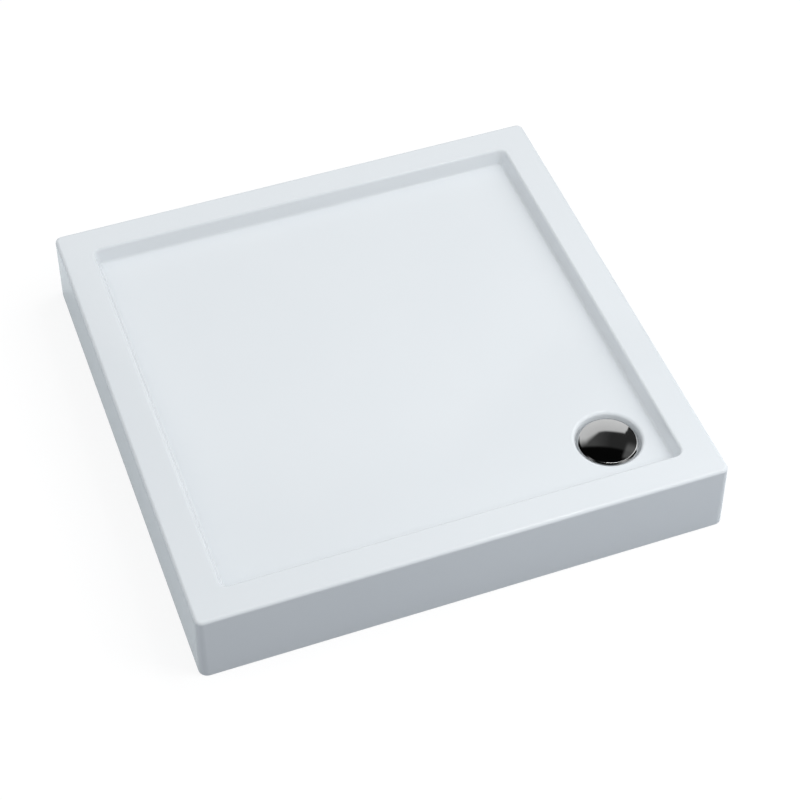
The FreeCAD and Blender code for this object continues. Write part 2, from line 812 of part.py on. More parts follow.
def outlet_pieces():
    """Tail pipe, its cone seal and the ribbed nut that clamps them."""
    mouth = "(waste_x - stub_reach)"
    tail = new_body("outlet_tail", mouth, "waste_y", "outlet_height")
    axis = [("0", "0")]
    sketch = circles(tail, "section", "YZ_Plane", "tail_across", axis, "tail_seat")
    pipe = pad(tail, "pipe", sketch, "tail_length", reverse=True)
    far = sized("tail_seat - tail_length")
    end = named_edges(pipe, lambda edge: edge.BoundBox.XMax < far + NEAR)
    chamfer(tail, "lead", pipe, end, "tail_wall / 2")
    sketch = circles(tail, "bead_mark", "YZ_Plane", "bead_across", axis, "-bead_start")
    pad(tail, "bead", sketch, "bead_long", reverse=True)
    bore = "tail_across - 2 * tail_wall"
    sketch = circles(tail, "bore_mark", "YZ_Plane", bore, axis, "tail_seat")
    pocket(tail, "bore", sketch, "2 * tail_length")

    seal = new_body("outlet_seal", mouth, "waste_y", "outlet_height")
    sketch = circles(seal, "section", "YZ_Plane", "stub_across", axis)
    ring = pad(seal, "ring", sketch, "cone_long", reverse=True)
    face = named_edges(ring, lambda edge: edge.BoundBox.XMax < NEAR - sized("cone_long"))
    chamfer(seal, "cone", ring, face, "stub_wall / 2")
    sketch = circles(seal, "bore_mark", "YZ_Plane", "tail_across + 2 * seal_play", axis)
    pocket(seal, "bore", sketch, "2 * cone_long")

    nut = new_body("outlet_nut", mouth, "waste_y", "outlet_height")
    start = "(outlet_nut_long - cone_long - nut_face)"
    sketch = circles(nut, "section", "YZ_Plane", "nut_across - 2 * nut_rib_deep", axis, start)
    pad(nut, "barrel", sketch, "outlet_nut_long", reverse=True)
    rib = box_outline(nut, "rib_end", "YZ_Plane",
                      ("nut_across / 2 - 2 * nut_rib_deep", "-nut_rib_wide / 2"),
                      ("nut_across / 2", "nut_rib_wide / 2"), start)
    rib = pad(nut, "rib", rib, "outlet_nut_long", reverse=True)
    ribs = nut.newObject("PartDesign::PolarPattern", "ribs")
    ribs.Originals = [rib]
    ribs.Axis = (origin_plane(nut, "X_Axis"), [""])
    ribs.Angle = 360
    ribs.Occurrences = NUT_RIB_COUNT
    nut.Tip = ribs
    doc.recompute()
    across = "stub_across + 2 * fit_play"
    sketch = circles(nut, "thread_mark", "YZ_Plane", across, axis, start)
    pocket(nut, "thread", sketch, "outlet_nut_long - nut_face")
    sketch = circles(nut, "pass_mark", "YZ_Plane", "stub_bore", axis, start)
    pocket(nut, "pass", sketch, "2 * outlet_nut_long")


def trap_cup():
    """Lift-out cup: a dip tube under a collar, with a bar to hold it by."""
    body = at_waste("trap_cup", "collar_bottom")
    lip = "(floor_clear + trap_wall + cup_clear - collar_bottom)"
    inner = "(cup_tube / 2 - cup_wall)"
    collar = "(flange_bore / 2 - collar_play)"
    corners = (
        (inner, lip),
        ("cup_tube / 2", lip),
        ("cup_tube / 2", "0"),
        (collar, "0"),
        (collar, "collar_tall"),
        (inner, "collar_tall"),
    )
    revolve(body, "turned", outline(body, "profile", "XZ_Plane", corners))
    bar = box_outline(body, "grip_plan", "XY_Plane", (f"-{inner} - cup_wall", "-grip_width / 2"),
                      (f"{inner} + cup_wall", "grip_width / 2"), "collar_tall")
    bar = pad(body, "grip", bar, "grip_tall")
    top = flat_at(sized("collar_tall + grip_tall"))
    fillet(body, "grip_edges", bar, named_edges(bar, top), "grip_tall / 4")
    slot = "(ring_section + 2 * fit_play)"
    deep = f"({collar} - ring_section)"
    beyond = f"({collar} + ring_section)"
    corners = (
        (deep, f"(collar_tall - {slot}) / 2"),
        (beyond, f"(collar_tall - {slot}) / 2"),
        (beyond, f"(collar_tall + {slot}) / 2"),
        (deep, f"(collar_tall + {slot}) / 2"),
    )
    groove(body, "ring_slot", outline(body, "slot_side", "XZ_Plane", corners))


def waste_cap():
    """Metal cap: a low dome with a bevel and a short turned-down rim."""
    body = at_waste("waste_cap", "cap_bottom")
    edge = "cap_across / 2"
    under = "(cap_tall - cap_rise - cap_sheet)"
    corners = []
    for step in range(CROWN_STEP_COUNT + 1):
        share = step / CROWN_STEP_COUNT
        corners.append((f"{share} * ({edge} - cap_bevel)",
                        f"cap_tall - {share ** 2} * cap_rise"))
    corners += [
        (edge, "cap_tall - cap_rise - cap_drop"),
        (edge, "0"),
        (f"{edge} - cap_sheet", "0"),
        (f"{edge} - cap_bevel", under),
        ("0", under),
    ]
    revolve(body, "pressed", outline(body, "profile", "XZ_Plane", corners))


def cap_holder():
    """Plastic holder inside the cap, with ribs to stand on and prongs to centre it."""
    body = at_waste("cap_holder", "cap_bottom")
    sketch = circles(body, "disc_mark", "XY_Plane", "cap_across - 2 * cap_bevel - 2 * fit_play",
                     [("0", "0")])
    pad(body, "disc", sketch, "cap_tall - cap_rise - cap_sheet")
    outer = "(flange_bore / 2 - prong_play)"
    plan = box_outline(body, "prong_plan", "XY_Plane",
                       (f"{outer} - prong_thick", "-prong_width / 2"),
                       (outer, "prong_width / 2"), "-prong_length")
    prong = pad(body, "prong", plan, "prong_length")
    around(body, "prongs", prong, CAP_PRONG_COUNT)
    start = "(flange_bore / 2 + stand_start)"
    plan = box_outline(body, "stand_plan", "XY_Plane", (start, "-stand_wide / 2"),
                       (f"{start} + stand_long", "stand_wide / 2"), "-cap_lift")
    stand = pad(body, "stand", plan, "cap_lift")
    around(body, "stands", stand, CAP_PRONG_COUNT)


waste_flange()
flat_ring("flange_seal", "waste_hole + 2 * seal_inset", "flange_across - 2 * seal_inset",
          "seal_thin", "recess_floor")
flat_ring("trap_seal", "waste_hole + 2 * seal_inset", "trap_flange - 2 * seal_inset",
          "seal_thick", "trap_top")
trap_body()
outlet_pieces()
trap_cup()
flat_ring("cup_ring", "flange_bore - 2 * (collar_play + ring_section)",
          "flange_bore - 2 * fit_play", "ring_section",
          "collar_bottom + (collar_tall - ring_section) / 2")
waste_cap()
cap_holder()


# --- check and write ---------------------------------------------------------

doc.recompute()
for item in doc.Objects:
    if "Invalid" in item.State or "Error" in item.State:
        raise RuntimeError(f"{item.Label} did not compute: {item.State}")
for item in BUILT:
    if item.Shape.isNull() or not item.Shape.isValid() or not item.Shape.Solids:
        raise RuntimeError(f"{item.Label} has no valid solid")

os.makedirs("parts", exist_ok=True)
for item in BUILT:
    item.Shape.exportStep(f"parts/{item.Label}.step")
    print(item.Label, len(item.Shape.Solids), round(item.Shape.Volume / 1000, 2), "cm3")
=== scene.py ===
# %% [markdown]
# # A square shower tray
#
# The construction of this tray comes from a CAD model: a formed acrylic sheet
# with a resin backing, a board, steel bearers, threaded legs and a waste trap.
# This lesson gives it its looks. Pieces whose shape matters close up are worked
# out again as smooth surfaces, and every piece gets a material built from nodes.
# Everything is in metres, in the frame of the CAD model, so nothing is fitted.

import json
import math

import bmesh
import bpy
import numpy as np
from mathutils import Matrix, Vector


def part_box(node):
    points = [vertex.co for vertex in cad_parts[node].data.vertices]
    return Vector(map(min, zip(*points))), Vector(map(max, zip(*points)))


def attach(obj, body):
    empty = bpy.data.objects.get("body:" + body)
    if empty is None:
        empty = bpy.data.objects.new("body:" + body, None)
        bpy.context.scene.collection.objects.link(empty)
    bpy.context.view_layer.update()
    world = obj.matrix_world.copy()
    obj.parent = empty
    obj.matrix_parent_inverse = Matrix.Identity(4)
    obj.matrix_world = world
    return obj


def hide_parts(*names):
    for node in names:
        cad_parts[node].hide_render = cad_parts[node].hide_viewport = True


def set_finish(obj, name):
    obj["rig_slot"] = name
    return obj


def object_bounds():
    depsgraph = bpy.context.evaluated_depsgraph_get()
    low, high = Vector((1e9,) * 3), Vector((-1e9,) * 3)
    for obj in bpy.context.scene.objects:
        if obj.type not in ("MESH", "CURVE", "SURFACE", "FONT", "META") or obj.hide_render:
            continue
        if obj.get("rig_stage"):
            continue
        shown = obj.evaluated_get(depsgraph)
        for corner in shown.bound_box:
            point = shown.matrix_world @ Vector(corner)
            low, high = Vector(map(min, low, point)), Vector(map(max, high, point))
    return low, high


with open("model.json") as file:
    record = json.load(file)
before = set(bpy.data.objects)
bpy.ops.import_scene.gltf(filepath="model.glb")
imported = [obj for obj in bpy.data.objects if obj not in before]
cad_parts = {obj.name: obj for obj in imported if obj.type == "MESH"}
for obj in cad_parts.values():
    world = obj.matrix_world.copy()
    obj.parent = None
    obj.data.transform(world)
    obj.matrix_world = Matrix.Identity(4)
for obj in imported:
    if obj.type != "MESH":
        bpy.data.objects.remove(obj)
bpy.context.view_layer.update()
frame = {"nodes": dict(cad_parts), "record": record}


def plain_box():
    """Lowest and highest corner of the whole object, as plain lists."""
    return [[float(value) for value in corner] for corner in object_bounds()]


# %% [markdown]
# ## Sizes
#
# A surface that replaces a CAD piece has to have the same size as that piece.
# What the frame can tell is read from it: the tray's side and height, and the
# place of the waste. The other sizes of the moulding are written once here, the
# same real sizes that the CAD model was drawn with.

# %% Sizes of the moulding
MM = 0.001
HALF_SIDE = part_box("tray_shell")[1].x
TRAY_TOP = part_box("tray_shell")[1].z
APRON_DRAFT = math.radians(1.15)
WALL_DRAFT = math.radians(17)
OUTER_CORNER = 15 * MM
OPENING_CORNER = 14 * MM
TOP_ROUND = 5.5 * MM
RIM_ROUND = 5 * MM
COVE_ROUND = 5 * MM
TRIMMED_EDGE = 0.8 * MM          # the sheet's cut edge, rubbed smooth
RIM_WIDTH = 56 * MM
BASIN_DEPTH = 27 * MM
HALF_OPENING = HALF_SIDE - TRAY_TOP * math.tan(APRON_DRAFT) - RIM_WIDTH
BASIN_FLOOR = TRAY_TOP - BASIN_DEPTH
FLOOR_EDGE = HALF_OPENING - 13.4 * MM    # here the cove has run out into the floor

waste_low, waste_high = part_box("waste_cap")
WASTE = np.array([(waste_low.x + waste_high.x) / 2, (waste_low.y + waste_high.y) / 2])
RECESS_MOUTH = 56.5 * MM
RECESS_FOOT = 53.5 * MM
RECESS_DEPTH = 14 * MM
RECESS_SOFT = 6 * MM
RECESS_COVE = 3 * MM
WASTE_HOLE = 45 * MM
print("half side", round(HALF_SIDE, 4), "top", round(TRAY_TOP, 4), "waste", WASTE.round(4))

# %% [markdown]
# ## From a grid of points to a mesh
#
# Every new piece is a grid: rows run along the piece, columns run round it, and
# four neighbouring points make a face. A closed piece joins its last row or its
# last column to the first. Where a row shrinks to a point, as on the middle of
# a cap, the doubled points are merged, and then the faces are turned outwards.
# This could be modelled by hand, but a formula keeps every size exact.


# %% Grid to mesh
DOUBLED = 0.002 * MM             # points nearer than this are one point


def surface_piece(name, grid, wrap_rows=False, crease=None):
    """Mesh from grid[row, column] = (x, y, z), joined round its columns.

    Face (r, c) has the corners (r, c), (r, c+1), (r+1, c+1) and (r+1, c), with
    c+1 taken round again to the first column. With wrap_rows the rows close in
    the same way. Edges that bend by more than crease degrees are drawn sharp.
    """
    rows, columns = grid.shape[:2]
    number = np.arange(rows * columns).reshape(rows, columns)
    number = np.hstack([number, number[:, :1]])
    if wrap_rows:
        number = np.vstack([number, number[:1]])
    faces = np.stack([number[:-1, :-1], number[:-1, 1:], number[1:, 1:], number[1:, :-1]], -1)
    mesh = bpy.data.meshes.new(name)
    mesh.from_pydata(grid.reshape(-1, 3), [], faces.reshape(-1, 4).tolist())
    work = bmesh.new()
    work.from_mesh(mesh)
    bmesh.ops.remove_doubles(work, verts=work.verts, dist=DOUBLED)
    bmesh.ops.recalc_face_normals(work, faces=work.faces)
    work.to_mesh(mesh)
    work.free()
    mesh.shade_smooth()
    if crease is not None:
        mesh.set_sharp_from_angle(angle=math.radians(crease))
    piece = bpy.data.objects.new(name, mesh)
    bpy.context.scene.collection.objects.link(piece)
    print(name, len(mesh.polygons), "faces")
    return piece


# %% [markdown]
# A moulded edge is never sharp. The path below walks from corner to corner and
# puts an arc into each. A flat face beside an arc would look bent, because the
# shading is smoothed across their shared edge, so one more point stands just
# beyond each end of the arc and keeps the smoothing inside that narrow strip.


# %% Path with rounded corners
GUARD = 0.35 * MM


def rounded_path(corners, radii, steps=8, guard=GUARD):
    """Points along straight runs joined by arcs.

    The first two numbers of a corner are its place. Any others ride along with
    it. The arc's centre lies on the line that halves the corner, radius / sin
    of the half angle away, and the arc starts radius / tan of it from the corner.
    """
    corners = np.asarray(corners, float)
    share = np.linspace(0, 1, steps + 1)[:, None]
    points = [corners[:1]]
    for before, corner, after, radius in zip(corners, corners[1:], corners[2:], radii):
        back = (before - corner)[:2] / np.linalg.norm((before - corner)[:2])
        on = (after - corner)[:2] / np.linalg.norm((after - corner)[:2])
        half = math.acos(np.clip(back @ on, -1, 1)) / 2
        middle = corner[:2] + (back + on) / np.linalg.norm(back + on) * radius / math.sin(half)
        start = corner[:2] + back * radius / math.tan(half) - middle
        end = corner[:2] + on * radius / math.tan(half) - middle
        sweep = math.pi - 2 * half
        arc = (np.sin((1 - share) * sweep) * start + np.sin(share * sweep) * end) / math.sin(sweep)
        arc = np.vstack([start + back * guard, arc, end + on * guard]) + middle
        points.append(np.hstack([arc, np.tile(corner[2:], (len(arc), 1))]))
    return np.vstack(points + [corners[-1:]])


def refined(path, longest):
    """The same path with more points, so that no run is much longer than asked."""
    runs = np.linalg.norm(np.diff(path[:, :2], axis=0), axis=1)
    place = np.concatenate([[0], np.cumsum(runs)])
    even = np.linspace(0, place[-1], int(place[-1] / longest) + 2)
    apart = np.abs(even[:, None] - place).min(axis=1) > longest / 4
    stations = np.sort(np.concatenate([place, even[apart]]))
    return np.column_stack([np.interp(stations, place, column) for column in path.T])


print("a rounded corner:", len(rounded_path([(0, 0), (1, 0), (1, 1)], [0.1])), "points")

# %% [markdown]
# ## The moulding as one family of surfaces
#
# The sheet's top, its underside and both faces of the backing are the same
# moulding at four depths. When each face moves by an inset, square to itself, a
# leaning wall goes sideways by inset / cos(lean) and a flat one goes down by the
# inset. So one function gives the corners of the cross-section at any inset.


# %% Cross-section of the moulding at an inset
def wall_corners(inset, foot):
    """Corners from the basin floor out over the rim and down the apron.

    Each is (half side, level, centre), where centre is how far from the middle
    the round corner of the square has its centre on that stretch.
    """
    rim = TRAY_TOP - inset
    floor = BASIN_FLOOR - inset
    apron_lean = math.tan(APRON_DRAFT)
    basin_centre = HALF_OPENING - OPENING_CORNER
    apron_centre = HALF_SIDE - OUTER_CORNER

    def wall(level):
        leaning = (TRAY_TOP - level) * math.tan(WALL_DRAFT)
        return HALF_OPENING - leaning + inset / math.cos(WALL_DRAFT)

    def apron(level):
        return HALF_SIDE - level * apron_lean - inset / math.cos(APRON_DRAFT)

    corners = [(wall(floor), floor, basin_centre), (wall(rim), rim, basin_centre),
               (apron(rim), rim, apron_centre), (apron(foot), foot, apron_centre)]
    radii = [COVE_ROUND + inset, RIM_ROUND - inset, TOP_ROUND - inset, TRIMMED_EDGE]
    return corners, [max(radius, TRIMMED_EDGE) for radius in radii]


def waste_corners(inset):
    """Corners (distance from the waste, level) of the recess at an inset."""
    fall = math.atan2(RECESS_DEPTH, RECESS_MOUTH - RECESS_FOOT)
    spread = inset * (1 / math.sin(fall) - 1 / math.tan(fall))
    floor = BASIN_FLOOR - inset
    seat = floor - RECESS_DEPTH
    corners = [(RECESS_MOUTH + spread, floor), (RECESS_FOOT + spread, seat), (WASTE_HOLE, seat)]
    radii = [max(RECESS_SOFT - inset, TRIMMED_EDGE), RECESS_COVE + inset, TRIMMED_EDGE]
    return corners, radii


print("corners of the sheet's top", np.round(wall_corners(0, 0)[0], 4).tolist())


# %% [markdown]
# ## Columns round a square
#
# A square with round corners is two things added up: a small square that the
# corners' centres stand on, and a step straight outwards by the corner radius.
# Along a side the step stays the same and the centre moves. At a corner the
# centre stays and the step turns. The columns stand closer where they have to
# fan out round the waste, which sits near one corner of the floor.


# %% Columns
NEAREST = 0.002                  # share of half a side that two columns keep apart


def square_columns(per_side, per_corner, fan):
    """Place of the centre and outward step for each column, as two arrays.

    On each side, from -1 to 1, the columns are even steps together with the
    places where rays from the waste, a fan angle apart, meet that side. A ray
    that comes too near to one of the steps is left out.
    """
    centre = HALF_OPENING - OPENING_CORNER
    corner_turns = np.linspace(0, math.pi / 2, per_corner + 1)[1:-1]
    corner_steps = np.column_stack([np.cos(corner_turns), np.sin(corner_turns)])
    edge = 1 - GUARD / centre
    centres, steps = [], []
    for turn in range(4):
        cosine, sine = round(math.cos(turn * math.pi / 2)), round(math.sin(turn * math.pi / 2))
        spin = np.array([[cosine, sine], [-sine, cosine]])
        waste = spin @ WASTE
        away = HALF_OPENING - waste[0]
        low, high = np.arctan((np.array([-centre, centre]) - waste[1]) / away)
        seen = (waste[1] + away * np.tan(np.arange(low, high, fan))) / centre
        even = np.linspace(-1, 1, per_side + 1)
        apart = np.abs(seen[:, None] - np.append(even, edge)).min(axis=1) > NEAREST
        side = np.sort(np.concatenate([even, [-edge, edge], seen[apart & (np.abs(seen) < edge)]]))
        centres += [np.column_stack([np.ones_like(side), side]) @ spin,
                    np.ones_like(corner_steps) @ spin]
        steps += [np.tile([1.0, 0.0], (len(side), 1)) @ spin, corner_steps @ spin]
    return np.vstack(centres), np.vstack(steps)


skin_columns = square_columns(per_side=12, per_corner=10, fan=math.radians(3))
print("columns", len(skin_columns[0]))

# %% [markdown]
# ## The skin
#
# The sheet is one closed surface: out of the basin, over the rim, down the
# apron, round its trimmed edge, back along the underside, down into the recess
# from below, up through the waste hole and back to the start. Between the
# square floor and the round recess the rows change from one to the other along
# straight rays from the waste. Subdivision could round a block into this form,
# but it would shrink the corners, and here each radius is a real one.


# %% Skin between two insets
RECESS_MARGIN = 6 * MM           # floor round the recess that its own rings cover
FLOOR_SHARES = [0.004, 0.12, 0.3, 0.5, 0.7, 0.88, 0.996]


def moulded_skin(outside, inside, foot, columns, longest=None):
    """Grid of the closed layer between two insets, and its number of wall rows.

    A square row is centre * place + (half side - centre) * step. A floor row is
    a blend of the last square row and a circle about the waste. A recess row is
    waste + distance * ray.
    """
    places, outward = columns
    outer, outer_radii = wall_corners(outside, foot)
    inner, inner_radii = wall_corners(inside, foot)
    ends = [(FLOOR_EDGE, outer[0][1], outer[0][2])], [(FLOOR_EDGE, inner[0][1], inner[0][2])]
    path = rounded_path(ends[0] + outer + inner[::-1] + ends[1], outer_radii + inner_radii[::-1])
    upper, upper_radii = waste_corners(outside)
    lower, lower_radii = waste_corners(inside)
    start = upper[0][0] + RECESS_MARGIN
    throat = rounded_path([(start, lower[0][1])] + lower + upper[::-1] + [(start, upper[0][1])],
                          lower_radii + upper_radii[::-1])
    if longest:
        path = refined(path, longest)
    half, level, centre = path.T[:, :, None]
    square = np.concatenate([centre[..., None] * places + (half - centre)[..., None] * outward,
                             np.broadcast_to(level[..., None], (len(path), len(places), 1))], -1)
    rays = square[0, :, :2] - WASTE
    rays /= np.linalg.norm(rays, axis=1, keepdims=True)
    distance, depth = throat.T[:, :, None]
    recess = np.concatenate([WASTE + distance[..., None] * rays,
                             np.broadcast_to(depth[..., None], (len(throat), len(rays), 1))], -1)
    share = np.array(FLOOR_SHARES)[:, None, None]
    under = square[-1] * (1 - share) + recess[0] * share
    above = recess[-1] * (1 - share) + square[0] * share
    return np.concatenate([square, under, recess, above]), len(path)


SHEET = 4 * MM
skin_grid, _ = moulded_skin(outside=0, inside=SHEET, foot=0, columns=skin_columns)
tray_skin = surface_piece("tray_skin", skin_grid, wrap_rows=True)
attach(tray_skin, "tray")
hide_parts("tray_shell")
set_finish(tray_skin, "acrylic")

# %% [markdown]
# ## The resin backing
#
# Chopped glass fibre and resin are sprayed on the sheet's underside, so the
# face that lies on the sheet is smooth, and the free face is lumpy with a torn
# lower edge. The lumps are real geometry: a sum of a few waves of different
# directions moves the free face in or out. The board, the screws and the seal
# press on the flat stretches, so the lumps fade out there.


# %% Lumpy resin backing
def lumps(points, length, seed, waves=14):
    """Smooth unevenness, mostly between -1 and 1: a sum of sine waves.

    Each wave has its own direction and phase, and a length near the one given.
    """
    draw = np.random.default_rng(seed)
    direction = draw.normal(size=(3, waves))
    direction *= 2 * math.pi / length / np.linalg.norm(direction, axis=0)
    direction *= draw.uniform(0.6, 1.6, waves)
    phase = draw.uniform(0, 2 * math.pi, waves)
    return np.sin(points @ direction + phase).sum(axis=-1) / math.sqrt(waves) / 1.5


def grid_normals(grid):
    """Unit normals of a grid, from the cross product of its two directions."""
    along = np.roll(grid, -1, axis=0) - np.roll(grid, 1, axis=0)
    across = np.roll(grid, -1, axis=1) - np.roll(grid, 1, axis=1)
    normal = np.cross(along, across)
    return normal / np.maximum(np.linalg.norm(normal, axis=-1, keepdims=True), 1e-12)


BOND = 0.1 * MM
RESIN = 3 * MM
RESIN_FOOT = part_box("fibreglass_backing")[0].z
BOARD_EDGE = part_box("base_board")[1].x
SEAL_REACH = 75 * MM             # round the waste the backing stays flat up to here
APRON_REACH = HALF_SIDE - 15 * MM        # the aprons stand outside this
COARSE_LUMPS = 16 * MM           # lengths of the waves
FINE_LUMPS = 6 * MM
TORN_LUMPS = 22 * MM
LUMP_DEPTH = 0.9 * MM
TORN_BAND = 6 * MM
TORN_DEPTH = 1.4 * MM


def fading(distance, width):
    """Straight ramp from 0 to 1 over a width."""
    return np.clip(distance / width, 0, 1)


def sprayed_backing():
    """Grid of the backing: a plain layer with lumps and a torn lower edge.

    A point of the free face moves along its normal by depth * clear * (0.45 *
    coarse + 0.35 * fine - 0.35), where clear is zero under the board and round
    the waste. The lower edge rises by depth * torn * (1 + lumps), where torn is
    one at the edge and zero at the top of its band.
    """
    columns = square_columns(per_side=84, per_corner=8, fan=math.radians(4))
    grid, wall_rows = moulded_skin(SHEET + BOND, SHEET + BOND + RESIN, RESIN_FOOT, columns,
                                   longest=7 * MM)
    reach = np.abs(grid[..., :2]).max(axis=-1)
    from_waste = np.linalg.norm(grid[..., :2] - WASTE, axis=-1)
    row = np.arange(len(grid))[:, None]
    free_face = (row > wall_rows / 2) & (row < wall_rows + 2)
    clear = fading(reach - BOARD_EDGE - 4 * MM, 6 * MM)
    clear = clear * fading(from_waste - SEAL_REACH, 10 * MM) * free_face
    coarse = lumps(grid, COARSE_LUMPS, seed=1)
    fine = lumps(grid, FINE_LUMPS, seed=2)
    height = 0.45 * coarse + 0.35 * fine - 0.35
    grid += grid_normals(grid) * (height * clear)[..., None] * LUMP_DEPTH
    torn = np.clip(1 - (grid[..., 2] - RESIN_FOOT) / TORN_BAND, 0, 1)
    torn *= reach > APRON_REACH
    grid[..., 2] += torn * (1 + lumps(grid * [1, 1, 0], TORN_LUMPS, seed=3)) * TORN_DEPTH
    return grid


resin_backing = surface_piece("resin_backing", sprayed_backing(), wrap_rows=True)
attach(resin_backing, "tray")
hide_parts("fibreglass_backing")
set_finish(resin_backing, "fibreglass")

# %% [markdown]
# ## Turned pieces
#
# The waste cap and the levelling feet are turned about an upright axis. A turned
# piece needs only half of its cross-section: each point of it becomes a ring.
# Blender's Screw modifier does the same, but here the ring's radius can also
# change with the angle. The same few lines then give the feet their webs and
# the nuts their flats.


# %% Rings about an upright axis
def rings(profile, angles, place):
    """Grid of rings: x = radius * cos(angle), y = radius * sin(angle), z = level.

    The radius may be one number for each row, or one for each row and column.
    """
    radius, level = profile
    radius = np.broadcast_to(radius, (len(level), len(angles)))
    return np.stack([place[0] + radius * np.cos(angles), place[1] + radius * np.sin(angles),
                     np.broadcast_to(level[:, None], radius.shape)], axis=-1)


def even_angles(count):
    """Angles of a full circle, without the last one, which is the first again."""
    return np.linspace(0, 2 * math.pi, count, endpoint=False)


def middle_of(node):
    """Plan place of a CAD node's middle, with its lowest and highest level."""
    low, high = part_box(node)
    return ((low.x + high.x) / 2, (low.y + high.y) / 2), low.z, high.z


# %% [markdown]
# ## The waste cap
#
# The cap is a pressed and plated disc with a very low dome, so it mirrors a
# small part of the room. A flat disc would mirror one colour only. Round the
# dome runs a narrow bevel that catches the light as a thin line, and below it
# the edge turns straight down.


# %% Waste cap
CAP_RADIUS = 50.5 * MM
CAP_RISE = 2.1 * MM
CAP_BEVEL = 3 * MM
CAP_DROP = 1.8 * MM
CAP_SHEET = 1.2 * MM
CAP_EDGES = [2.4 * MM, 0.25 * MM, 0.3 * MM, 0.3 * MM, 1.0 * MM]


def cap_profile(low, top):
    """Radii and levels from the middle of the cap round its edge to its underside.

    The dome's level is top - rise * (radius / edge)^2. The dome ends 1 mm before
    the bevel, where an arc takes over.
    """
    crown_edge = CAP_RADIUS - CAP_BEVEL
    crown_level = top - CAP_RISE
    under = crown_level - CAP_SHEET
    radius = np.linspace(0, crown_edge - 1.0 * MM, 30)
    crown = np.column_stack([radius, top - CAP_RISE * (radius / crown_edge) ** 2])
    corners = [crown[-1], (crown_edge, crown_level), (CAP_RADIUS, crown_level - CAP_DROP),
               (CAP_RADIUS, low), (CAP_RADIUS - CAP_SHEET, low), (crown_edge, under), (0, under)]
    return np.vstack([crown[:-1], rounded_path(corners, CAP_EDGES, guard=0.06 * MM)]).T


cap_place, cap_low, cap_top = middle_of("waste_cap")
cap_radius, cap_level = cap_profile(cap_low, cap_top)
cap_dome = surface_piece(
    "cap_dome", rings((cap_radius[:, None], cap_level), even_angles(128), cap_place))
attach(cap_dome, "cap")
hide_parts("waste_cap")
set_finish(cap_dome, "chrome")

# %% [markdown]
# ## Legs
#
# Each leg is a rolled M10 rod that stands in a plastic foot. A real thread is a
# groove that climbs one pitch in each turn. So the rod's radius depends on the
# level and on the angle together: at a given angle the same shape comes back
# every pitch, and it stands a little higher at the next angle. A modelled helix
# would need a boolean, and this needs none.


# %% Threaded rods
PITCH = 1.5 * MM
THREAD_DEPTH = 0.92 * MM
ROD_RADIUS = 5 * MM
LEGS = [name[len("foot_"):] for name in frame["nodes"] if name.startswith("foot_")]


def threaded_rod(name, node, radius):
    """Rod whose radius is radius - depth * ridge(level / pitch - angle / turn).

    The ridge is a saw with equal flanks, cut off at crest and root, and the
    radius is held below a cone at both ends, which makes the lead-in.
    """
    place, low, high = middle_of(node)
    levels = np.arange(low, high, PITCH / 6)
    levels = np.concatenate([[low, low], levels, [high, high]])
    angles = even_angles(20)
    climb = levels[:, None] / PITCH - angles / (2 * math.pi)
    ridge = np.abs(2 * (climb % 1) - 1)
    cut = np.clip(ridge * 1.2 - 0.1, 0, 1)
    lead = radius - THREAD_DEPTH + np.minimum(high - levels, levels - low)[:, None]
    profile = np.minimum(radius - THREAD_DEPTH * cut, lead)
    profile[[0, -1]] = 0
    return surface_piece(name, rings((profile, levels), angles, place))


for leg in LEGS:
    rod = threaded_rod(f"thread_{leg}", f"stud_{leg}", ROD_RADIUS)
    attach(rod, f"leg_{leg}")
    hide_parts(f"stud_{leg}")
    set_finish(rod, "zinc")

# %% [markdown]
# A hexagon is also a radius that changes with the angle: half the width across
# the flats, divided by the cosine of the angle from the middle of a flat. The
# corners of a real nut are turned off to a cone at both faces, which is the
# smaller of two radii. That leaves the curved edge that every nut shows.


# %% Nuts
NUT_FLATS = 17 * MM
NUT_FACE = NUT_FLATS / 2 * 0.95          # radius of the flat ring on both faces
NUT_BORE = 5.1 * MM
NUT_CONE = math.tan(math.radians(60))    # radius gained for each step of level
BORE_CHAMFER = 0.4 * MM


def hexagon(angles, flats):
    """Radius of a hexagon with a corner at angle zero."""
    sixth = math.pi / 3
    return flats / 2 / np.cos(angles % sixth - sixth / 2)


def nut_grid(place, low, high):
    """Grid of a nut: the radius is the smaller of a hexagon's and a cone's."""
    angles = even_angles(72)
    rise = np.linspace(0, (NUT_FLATS / math.sqrt(3) - NUT_FACE) / NUT_CONE + 0.05 * MM, 8)
    cone = NUT_FACE + np.concatenate([rise, rise[::-1]]) * NUT_CONE
    outside = np.minimum(hexagon(angles, NUT_FLATS), cone[:, None])
    bore = np.full((1, len(angles)), NUT_BORE)
    radius = np.vstack([bore, bore + BORE_CHAMFER, outside, bore + BORE_CHAMFER, bore])
    edge = min(BORE_CHAMFER, (high - low) / 4)
    levels = np.concatenate([[low + edge, low], low + rise, high - rise[::-1],
                             [high, high - edge]])
    return rings((radius, levels), angles, place)


for leg in LEGS:
    for position in ("upper", "lower"):
        node = f"{position}_nut_{leg}"
        nut = surface_piece(f"hex_{node}", nut_grid(*middle_of(node)), wrap_rows=True, crease=28)
        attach(nut, f"nuts_{leg}")
        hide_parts(node)
        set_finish(nut, "zinc")


# %% [markdown]
# The foot is a moulded disc with a neck for the rod. Webs between them carry the
# load outwards. A web is a stretch of angles where the ring reaches out to the
# web's sloping edge instead of the neck.


